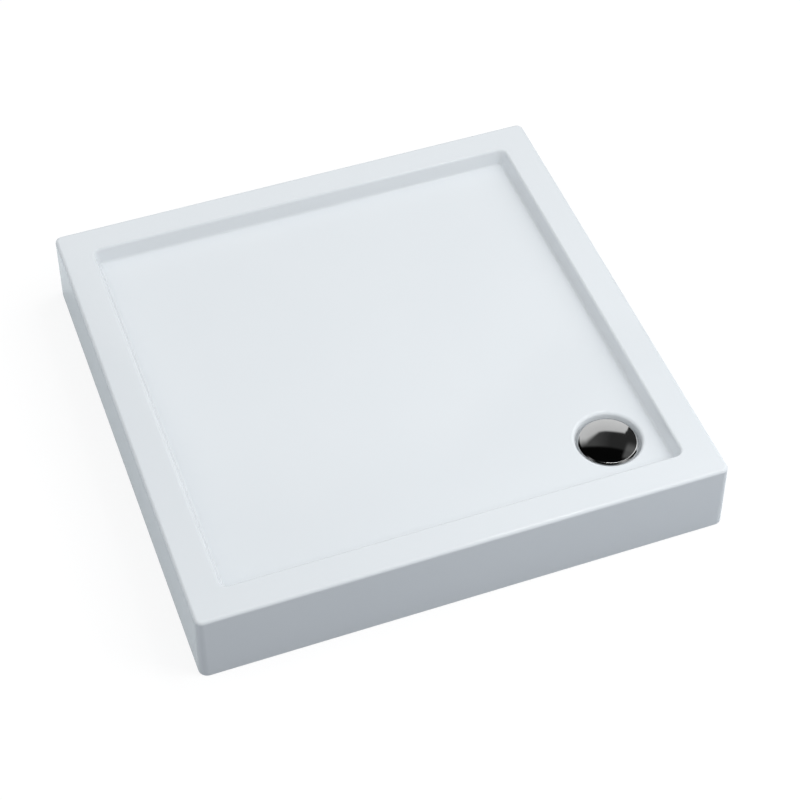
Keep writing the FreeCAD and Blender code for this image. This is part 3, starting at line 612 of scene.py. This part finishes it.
# %% Levelling feet
WEBS = 6
WEB_STEPS = np.radians([-5.6, -4.2, 0, 4.2, 5.6, 14, 22, 30, 38, 46])
FOOT_RADIUS = 22.5 * MM
FOOT_NECK = 9.5 * MM
FOOT_DISC = 4 * MM
FOOT_SEAT = 6 * MM               # the rod stands on this level of the foot
FOOT_EDGES = np.array([1, 1.2, 1.5, 0.6, 0.4, 0.3]) * MM
WEB_REACH = FOOT_RADIUS - 2 * MM
WEB_HEIGHT = 16 * MM


def levelling_foot(name, node):
    """Turned foot whose radius is the larger of its profile and its webs."""
    place, low, high = middle_of(node)
    disc, seat = low + FOOT_DISC, low + FOOT_SEAT
    corners = [(0, low), (FOOT_RADIUS, low), (FOOT_RADIUS, disc), (FOOT_NECK, disc),
               (FOOT_NECK, high), (ROD_RADIUS, high), (ROD_RADIUS, seat), (0, seat)]
    path = refined(rounded_path(corners, FOOT_EDGES, steps=5, guard=0.2 * MM), 0.9 * MM)
    angles = (np.arange(WEBS)[:, None] * 2 * math.pi / WEBS + WEB_STEPS).ravel()
    in_web = np.tile(np.abs(WEB_STEPS) < math.radians(5), WEBS)
    web_edge = np.interp(path[:, 1], [disc, low + WEB_HEIGHT], [WEB_REACH, FOOT_NECK])
    outside = (np.arange(len(path)) < np.argmax(path[:, 1])) & (path[:, 1] > disc - 0.01 * MM)
    radius = np.broadcast_to(path[:, :1], (len(path), len(angles))).copy()
    webbed = outside[:, None] & in_web
    radius[webbed] = np.maximum(radius, web_edge[:, None])[webbed]
    return surface_piece(name, rings((radius, path[:, 1]), angles, place), crease=40)


for leg in LEGS:
    foot = levelling_foot(f"webbed_foot_{leg}", f"foot_{leg}")
    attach(foot, f"leg_{leg}")
    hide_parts(f"foot_{leg}")
    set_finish(foot, "foot_plastic")

# %% [markdown]
# ## Materials
#
# A single flat colour looks like paint on a computer. Real finishes differ from
# place to place: plating is clouded, board shows its chips, and moulded plastic
# has a fine grain. Each finish below starts from Blender's Principled shader and
# drives its colour, roughness or bump with noise on Object coordinates, which
# stay with the piece in every view.


# %% A small kit for shader nodes
class Nodes:
    """Short calls that add nodes to the tree of a material or a world."""

    def __init__(self, owner):
        owner.use_nodes = True
        self.tree = owner.node_tree

    def node(self, kind, inputs=(), **settings):
        """Add a node, set its options, and set or link its inputs."""
        node = self.tree.nodes.new(f"ShaderNode{kind}")
        for setting, value in settings.items():
            setattr(node, setting, value)
        for socket, value in dict(inputs).items():
            self.feed(node.inputs[socket], value)
        return node

    def feed(self, socket, value):
        """Link an output to a socket, or set the socket to a number or colour."""
        if isinstance(value, bpy.types.NodeSocket):
            self.tree.links.new(value, socket)
        else:
            socket.default_value = value

    def blend(self, factor, first, second):
        """Mix two colours by a factor."""
        inputs = {0: factor, 6: first, 7: second}
        return self.node("Mix", inputs, data_type="RGBA").outputs[2]

    def calculate(self, operation, first, second):
        """Work out one number from two."""
        return self.node("Math", {0: first, 1: second}, operation=operation).outputs[0]


class Finish(Nodes):
    """A material with a Principled shader, and short calls for what drives it."""

    def __init__(self, name, **sockets):
        self.material = bpy.data.materials.new(name)
        super().__init__(self.material)
        self.shader = self.tree.nodes["Principled BSDF"]
        self.place = self.node("TexCoord").outputs["Object"]
        self.set(**sockets)

    def stretched(self, scale):
        """Object coordinates multiplied by a scale for each axis."""
        return self.node("Mapping", {"Vector": self.place, "Scale": scale}).outputs["Vector"]

    def noise(self, size, detail=3.0, vector=None):
        """Noise whose patches are about a size across."""
        inputs = {"Vector": vector or self.place, "Scale": 1 / size, "Detail": detail}
        return self.node("TexNoise", inputs).outputs["Fac"]

    def cells(self, size, feature="F1", output="Distance", vector=None):
        """Voronoi cells about a size across."""
        inputs = {"Vector": vector or self.place, "Scale": 1 / size}
        return self.node("TexVoronoi", inputs, feature=feature).outputs[output]

    def between(self, factor, low, high, start=0.0, end=1.0):
        """Map a factor from start..end to low..high."""
        inputs = {"Value": factor, "From Min": start, "From Max": end,
                  "To Min": low, "To Max": high}
        return self.node("MapRange", inputs).outputs["Result"]

    def bump(self, height, depth, strength=1.0, under=None):
        """Bump from a height of 0..1 that stands for a depth in metres."""
        inputs = {"Height": height, "Distance": depth, "Strength": strength}
        if under:
            inputs["Normal"] = under
        return self.node("Bump", inputs).outputs["Normal"]

    def tone(self, colour, channel="Red"):
        """One channel of a colour, as a number for each cell."""
        return self.node("SeparateColor", {"Color": colour}).outputs[channel]

    def set(self, **sockets):
        """Feed sockets of the shader, named with _ for a space, and give the material."""
        for socket, value in sockets.items():
            self.feed(self.shader.inputs[socket.replace("_", " ")], value)
        return self.material


def rgb(red, green, blue):
    """A colour with full cover."""
    return (red, green, blue, 1.0)


# %% [markdown]
# Formed acrylic is hard, white and glossy. The sheet is stretched over a mould,
# so its gloss is not quite even, and its white is a touch cool.


# %% Formed acrylic
def formed_acrylic():
    """Cool white gloss with a faint unevenness from forming."""
    finish = Finish("formed_acrylic", IOR=1.49)
    cloud = finish.noise(140 * MM, 2)
    colour = finish.blend(cloud, rgb(0.796, 0.832, 0.862), rgb(0.814, 0.847, 0.875))
    haze = finish.between(finish.noise(30 * MM, 4), 0.05, 0.11)
    ripple = finish.bump(finish.noise(24 * MM, 1), 0.02 * MM, 0.5)
    return finish.set(Base_Color=colour, Roughness=haze, Normal=ripple)


# %% [markdown]
# The backing shows short glass strands lying every way in cured resin. Two
# noises stretched along different directions read as strands, and cells give
# the clots of resin between them.


# %% Chopped-strand resin
def strand_resin():
    """Yellowish resin with pale strands in three directions."""
    finish = Finish("strand_resin", IOR=1.5)
    strands = [finish.noise(9 * MM, 2, finish.stretched(scale))
               for scale in ((1, 14, 5), (14, 1, 5), (9, 7, 1))]
    crossed = finish.calculate("MAXIMUM", strands[0], strands[1])
    crossed = finish.calculate("MAXIMUM", crossed, strands[2])
    pale = finish.between(crossed, 0, 1, 0.52, 0.70)
    clots = finish.noise(22 * MM, 4)
    resin = finish.blend(clots, rgb(0.50, 0.49, 0.36), rgb(0.66, 0.66, 0.55))
    colour = finish.blend(pale, resin, rgb(0.80, 0.80, 0.74))
    relief = finish.bump(pale, 0.35 * MM, 0.8)
    relief = finish.bump(finish.cells(3 * MM, "SMOOTH_F1"), 0.3 * MM, 0.5, relief)
    return finish.set(Base_Color=colour, Roughness=finish.between(clots, 0.30, 0.55), Normal=relief)


# %% [markdown]
# Chipboard is wood chips pressed with glue. Each cell of a Voronoi texture gets
# its own tone between light and dark wood, small cells on top of large ones.


# %% Chipboard
def pressed_chips():
    """Flat chips of several wood tones, stretched a little along one way."""
    finish = Finish("pressed_chips")
    chips = finish.cells(5 * MM, output="Color", vector=finish.stretched((1, 2.2, 3)))
    tone = finish.tone(chips)
    fine = finish.tone(finish.cells(1.6 * MM, output="Color"), "Green")
    wood = finish.blend(tone, rgb(0.38, 0.25, 0.13), rgb(0.68, 0.51, 0.31))
    colour = finish.blend(finish.between(fine, 0, 0.55), wood, rgb(0.56, 0.40, 0.23))
    relief = finish.bump(tone, 0.15 * MM, 0.6)
    return finish.set(Base_Color=colour, Roughness=finish.between(tone, 0.75, 0.9), Normal=relief)


# %% [markdown]
# Zinc from a hot bath freezes in crystals, the spangle of galvanised steel. Each
# crystal mirrors a little more or less than the next. Zinc from an electric bath
# has no spangle: it is even and a touch blue.


# %% Steel finishes
def galvanised_steel():
    """Spangled zinc: cells with their own tone and roughness."""
    finish = Finish("galvanised_steel", Metallic=1.0)
    tone = finish.tone(finish.cells(9 * MM, output="Color"))
    feather = finish.noise(5 * MM, 5, finish.stretched((1, 3, 1)))
    mixed = finish.calculate("MULTIPLY", tone, feather)
    colour = finish.blend(finish.between(mixed, 0, 1, 0, 0.7),
                          rgb(0.47, 0.49, 0.51), rgb(0.70, 0.72, 0.74))
    return finish.set(Base_Color=colour, Roughness=finish.between(tone, 0.30, 0.48),
                      Normal=finish.bump(feather, 0.04 * MM, 0.4))


def plated_zinc():
    """Bright zinc plate, slightly clouded."""
    finish = Finish("plated_zinc", Metallic=1.0)
    cloud = finish.noise(6 * MM, 4)
    colour = finish.blend(cloud, rgb(0.60, 0.62, 0.65), rgb(0.74, 0.76, 0.78))
    return finish.set(Base_Color=colour, Roughness=finish.between(cloud, 0.22, 0.38))


def plated_chrome():
    """Polished chrome with a trace of wiping marks in its gloss."""
    finish = Finish("plated_chrome", Metallic=1.0)
    smear = finish.noise(16 * MM, 3)
    marks = finish.noise(2 * MM, 2, finish.stretched((1, 8, 1)))
    both = finish.calculate("MULTIPLY", smear, marks)
    colour = finish.blend(smear, rgb(0.545, 0.55, 0.55), rgb(0.60, 0.605, 0.605))
    return finish.set(Base_Color=colour, Roughness=finish.between(both, 0.015, 0.05, 0.1, 0.5))


# %% [markdown]
# Moulded plastics differ in colour and in the grain that the tool's surface
# leaves. One function makes them all, and the rubber too.


# %% Moulded plastics and rubber
def moulded(name, dark, light, rough, grain, depth):
    """A plastic or rubber with slow clouds, an uneven gloss and a fine grain."""
    finish = Finish(name)
    cloud = finish.noise(18 * MM, 3)
    fine = finish.noise(grain, 2)
    return finish.set(Base_Color=finish.blend(cloud, dark, light),
                      Roughness=finish.between(fine, rough - 0.07, rough + 0.07, 0.3, 0.7),
                      Normal=finish.bump(fine, depth, 0.6))


FINISHES = {
    "acrylic": formed_acrylic(),
    "fibreglass": strand_resin(),
    "chipboard": pressed_chips(),
    "galvanised": galvanised_steel(),
    "zinc": plated_zinc(),
    "chrome": plated_chrome(),
    "foot_plastic": moulded("black_foot_plastic", rgb(0.012, 0.012, 0.013),
                            rgb(0.022, 0.022, 0.024), 0.50, 0.8 * MM, 0.05 * MM),
    "white_plastic": moulded("satin_white_plastic", rgb(0.72, 0.74, 0.75),
                             rgb(0.77, 0.79, 0.80), 0.30, 1.5 * MM, 0.01 * MM),
    "trap_plastic": moulded("satin_trap_plastic", rgb(0.66, 0.68, 0.69),
                            rgb(0.72, 0.74, 0.75), 0.42, 1.0 * MM, 0.02 * MM),
    "rubber_seal": moulded("soft_rubber", rgb(0.018, 0.018, 0.018),
                           rgb(0.030, 0.030, 0.030), 0.65, 1.0 * MM, 0.03 * MM),
}
print("finishes", ", ".join(FINISHES))

# %% [markdown]
# The record names a finish for each CAD piece, so the finishes are given out in
# one loop. The new pieces take theirs from the slot they were given above.

# %% Give out the finishes
node_slots = {part["node"]: part["material_slot"] for part in frame["record"]["subparts"]}
for node, piece in frame["nodes"].items():
    for slot in piece.material_slots:
        slot.material = FINISHES[node_slots[node]]
new_pieces = [piece for piece in bpy.data.objects
              if piece.type == "MESH" and piece.name not in frame["nodes"]]
for piece in new_pieces:
    piece.data.materials.clear()
    piece.data.materials.append(FINISHES[piece["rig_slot"]])
print("finished", len(new_pieces), "new pieces and", len(frame["nodes"]), "CAD pieces")

# %% [markdown]
# ## Floor, light and camera
#
# The tray stands on a white floor under soft studio light. A lamp that made the
# floor white would also burn out the tray. So the floor adds a glow of its own,
# seen only by the camera and in mirrors, to the light that it really scatters,
# and where the tray shades it, it stays a little darker. Under the tray it is
# left open, so that a view from below shows the legs and they can travel down.


# %% Floor
class Studio(Nodes):
    """The emptied tree of a studio material or world, with its output."""

    def __init__(self, owner, output="OutputMaterial"):
        super().__init__(owner)
        self.tree.nodes.clear()
        self.surface = self.node(output).inputs["Surface"]

    def ray(self, kind):
        """One for rays of one kind, else zero."""
        return self.node("LightPath").outputs[f"Is {kind} Ray"]

    def seen_directly(self):
        """One for rays from the camera, from a mirror or through glass, else zero."""
        mirrored = self.calculate("MAXIMUM", self.ray("Camera"), self.ray("Glossy"))
        return self.calculate("MAXIMUM", mirrored, self.ray("Transmission"))

    def shader(self, kind, **inputs):
        """Add a shader node and return its output."""
        return self.node(kind, inputs).outputs[0]

    def mix(self, factor, first, second):
        """Show one shader or another by a factor."""
        self.feed(self.surface, self.node("MixShader", {0: factor, 1: first, 2: second}).outputs[0])


def white_floor(seen, mirrored, bounced):
    """Floor material that glows for the camera and for mirrors.

    Seen and mirrored are each (glow, colour): the glow and the light that the
    colour scatters add up to white away from the tray. In mirrors the colour
    has the larger share, so that the tray's own shade shows in the gloss of its
    aprons. All other rays meet the bounced colour, without a glow.
    """
    material = bpy.data.materials.new("white_floor")
    studio = Studio(material)
    camera = studio.ray("Camera")
    strength = studio.node("MapRange", {"Value": camera, "To Min": mirrored[0], "To Max": seen[0]})
    glow = studio.shader("Emission", Strength=strength.outputs["Result"])
    colour = studio.blend(camera, rgb(*mirrored[1]), rgb(*seen[1]))
    scattered = studio.shader("BsdfDiffuse", Color=colour)
    both = studio.node("AddShader", {0: glow, 1: scattered}).outputs[0]
    plain = studio.shader("BsdfDiffuse", Color=rgb(*bounced))
    studio.mix(studio.seen_directly(), plain, both)
    return material


def studio_floor(half, material):
    """Plain square at level zero, with an opening under the tray.

    Its two rows are centre * place + rest * step, one at the middle of the
    sheet's foot and one far out.
    """
    places, outward = square_columns(per_side=1, per_corner=8, fan=math.pi)
    opening = (HALF_SIDE - OUTER_CORNER) * places + (OUTER_CORNER - SHEET / 2) * outward
    grid = np.stack([opening, half * places + outward])
    floor = surface_piece("studio_floor", np.dstack([grid, np.zeros(grid.shape[:2])]))
    floor.data.materials.append(material)
    floor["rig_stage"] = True


floor_material = white_floor(seen=(0.82, (0.22, 0.22, 0.22)),
                             mirrored=(0.13, (0.87, 0.94, 0.97)),
                             bounced=(0.16, 0.18, 0.22))
studio_floor(half=9, material=floor_material)

# %% [markdown]
# The world gives even light from all sides, and looks white to the camera. Suns
# with a wide disc stand for large softboxes, whose light is soft and the same all
# over the tray, and a lamp near the front corner makes that corner a little
# lighter. Mirrors don't see these. What glossy edges do see is one narrow window
# light, which draws the thin bright lines along the rounded edges.


# %% World and lamps
def studio_world(colour, strength):
    """White for the camera and mirrors, and an even dim light for the rest."""
    world = bpy.data.worlds.new("studio_world")
    studio = Studio(world, "OutputWorld")
    even = studio.shader("Background", Color=rgb(*colour), Strength=strength)
    white = studio.shader("Background", Color=rgb(1, 1, 1))
    studio.mix(studio.seen_directly(), even, white)
    bpy.context.scene.world = world


def lamp(name, kind, place, target, energy, **settings):
    """A lamp that looks from its place at a target."""
    data = bpy.data.lights.new(name, kind)
    data.energy = energy
    for setting, value in settings.items():
        setattr(data, setting, value)
    light = bpy.data.objects.new(name, data)
    bpy.context.scene.collection.objects.link(light)
    way = np.array(target, float) - np.array(place, float)
    level = math.hypot(way[0], way[1])
    light.location = place
    light.rotation_euler = (math.atan2(level, -way[2]), 0, math.atan2(way[0], -way[1]) + math.pi)
    return light


def softbox(name, place, strength, degrees):
    """A sun with a wide disc, seen from the tray in the direction of its place."""
    return lamp(name, "SUN", place, (0, 0, 0), strength, angle=math.radians(degrees))


studio_world((0.95, 0.98, 1.0), 0.35)
soft_lamps = [
    softbox("overhead_softbox", (0, 0, 3), 0.35, 70),
    softbox("right_softbox", (2, 0, 2), 1.02, 60),
    softbox("left_softbox", (-2, 0, 2), 0.50, 60),
    softbox("front_softbox", (0, -2, 2), 0.18, 60),
    lamp("front_fill", "AREA", (0.9, -1.1, 1.3), (0.3, -0.4, 0.1), 6.0, shape="SQUARE", size=0.8)]
for soft_lamp in soft_lamps:
    soft_lamp.visible_glossy = False
lamp("window_light", "AREA", (1.3, 0.8, 4.0), (0.3, 0.3, 0.1), 6.0, shape="RECTANGLE", size=0.9,
     size_y=0.2)
print("lamps", len(bpy.data.lights))

# %% [markdown]
# Chrome has no colour of its own: it shows the room. In a white room it would
# look like paper. So mirrors see a dome with a light wall below and a dark
# ceiling above, and the low crown of the cap shows the edge between the two. A
# tall window on the right is what its rounded edge catches. Behind the camera
# and right overhead the ceiling is grey, so that the cap isn't black from there.


# %% Light in the room
# Azimuth and elevation, in degrees, of points where the wall ends and the ceiling starts.
CEILING_EDGE = [(-75, 32), (-55, 20), (-16, 17), (2, 51.5), (14, 51.5), (18, 51), (22, 48.2),
                (24.5, 46.2), (27, 45.6), (35.4, 45.1), (36.2, 40), (48, 14), (110, 14), (135, 32)]


def step(distance, width):
    """Smooth step from 0 to 1 over a width: 3 t^2 - 2 t^3."""
    share = np.clip(distance / width + 0.5, 0, 1)
    return share * share * (3 - 2 * share)


def patch(value, rise=None, fall=None):
    """One past the rise and short of the fall. Each is (middle, width) of a step."""
    light = 1.0
    if rise:
        light = light * step(value - rise[0], rise[1])
    if fall:
        light = light * step(fall[0] - value, fall[1])
    return light


def room_light(azimuth, elevation):
    """Brightness of the room towards an azimuth and an elevation, in degrees.

    Each light is a strength times a patch in azimuth times a patch in elevation.
    The wall dims a little towards the ceiling's edge, and its foot is dark. The
    ceiling is all but black, with a faint strip of light next to that edge.
    """
    dim = np.interp(azimuth, (16, 26), (0.015, 0.035))
    foot = 0.8 * patch(azimuth, (-30, 8), (60, 10)) * patch(elevation, fall=(20, 4))
    wall = (1 - dim * np.clip(elevation - 38, 0, 14)) * (1 - foot)
    strip = np.interp(azimuth, (0, 8, 22, 30, 45, 60), (0, 0.10, 0.08, 0.03, 0.03, 0))
    strip *= patch(elevation, fall=(53.4, 1.5))
    side = 0.12 * patch(azimuth, (38, 2)) * patch(elevation, (50, 4), (57, 2))
    from_front = np.abs((azimuth + 160) % 360 - 180)
    behind = 0.35 * patch(from_front, (95, 20)) * patch(elevation, fall=(60, 8))
    overhead = 0.35 * patch(elevation, (82, 8))
    ceiling = 0.003 + strip + side + behind + overhead
    window = 1.6 * patch(azimuth, (48, 3), (85, 3)) * patch(elevation, (30, 4), (78, 4))
    edge = np.interp(azimuth, *np.transpose(CEILING_EDGE))
    soft = np.interp(azimuth, (16, 25, 45, 60), (5, 1.2, 1.2, 8))
    return ceiling + (wall - ceiling) * step(edge - elevation, soft) + window


print("wall", room_light(20, 40).round(3), "ceiling", room_light(20, 70).round(3))


# %% Room for the mirrors
def mirror_room(middle, radius):
    """Dome with the light of the room on it, seen by glossy rays only.

    A point at azimuth a and elevation e stands at radius * (sin a cos e, cos a
    cos e, sin e) from the middle.
    """
    azimuth = np.radians(np.r_[-180:-8:6, -8:50:0.4, 50:90:2, 90:180:6])[None, :]
    elevation = np.radians(np.r_[0:12:4, 12:36:1.5, 36:62:0.4, 62:90:2, 90])[:, None]
    grid = np.stack(np.broadcast_arrays(np.sin(azimuth) * np.cos(elevation),
                                        np.cos(azimuth) * np.cos(elevation),
                                        np.sin(elevation)), axis=-1) * radius + middle
    room = surface_piece("mirror_room", grid)
    places = np.empty(len(room.data.vertices) * 3)
    room.data.vertices.foreach_get("co", places)
    away = (places.reshape(-1, 3) - middle) / radius
    azimuth = np.degrees(np.arctan2(away[:, 0], away[:, 1]))
    elevation = np.degrees(np.arcsin(np.clip(away[:, 2], -1, 1)))
    light = room.data.attributes.new("light", "FLOAT", "POINT")
    light.data.foreach_set("value", room_light(azimuth, elevation))
    material = bpy.data.materials.new("room_light")
    studio = Studio(material)
    brightness = studio.node("Attribute", attribute_name="light").outputs["Fac"]
    studio.feed(studio.surface, studio.shader("Emission", Strength=brightness))
    room.data.materials.append(material)
    for kind in ("camera", "diffuse", "shadow", "transmission"):
        setattr(room, f"visible_{kind}", False)
    room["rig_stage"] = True


mirror_room(middle=np.append(WASTE, 0.0), radius=6.0)

# %% [markdown]
# The camera was worked out from the photograph: the four corners of a square top
# fix where it stands and how long its lens is.

# %% Camera
CAMERA_PLACE = (-0.78709, -2.28235, 2.73883)
CAMERA_TURN = (41.404, 0.020, -20.034)
CAMERA_LENS = 94.377
FILM_WIDTH = 36

camera_data = bpy.data.cameras.new("camera")
camera_data.lens = CAMERA_LENS
camera_data.sensor_width = FILM_WIDTH
camera = bpy.data.objects.new("camera", camera_data)
camera.location = CAMERA_PLACE
camera.rotation_euler = [math.radians(turn) for turn in CAMERA_TURN]
bpy.context.scene.collection.objects.link(camera)
bpy.context.scene.camera = camera
bpy.context.scene.view_settings.view_transform = "Standard"
print("camera at", CAMERA_PLACE, "lens", CAMERA_LENS, "mm")

# %% Print the size of the visual box
print("visual box", plain_box())
